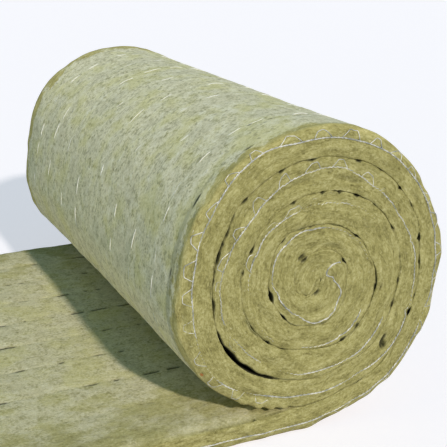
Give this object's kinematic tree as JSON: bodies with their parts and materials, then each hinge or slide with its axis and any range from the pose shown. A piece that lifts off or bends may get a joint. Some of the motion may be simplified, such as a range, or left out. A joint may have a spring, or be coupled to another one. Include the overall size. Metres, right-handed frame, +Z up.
{
  "type": "insulation roll",
  "caption": "Stone wool insulation blanket faced with wire netting, wound into a roll with its outer end laid out flat as a tail.",
  "frame": {"origin": "on the floor, at the middle of the whole length and width", "axes": "+X from the laid-out tail towards the roll, +Y along the roll's axis away from the open end that faces the viewer, +Z up"},
  "size_m": [1.2318, 1.0024, 0.5378],
  "materials": {
    "stone_wool": "matte felted mineral fibre, olive green",
    "galvanised_wire": "dull galvanised steel wire"
  },
  "bodies": {
    "root": {"wool_blanket": "stone_wool", "edge_wire_front": "galvanised_wire", "edge_wire_back": "galvanised_wire"}
  },
  "joints": []
}
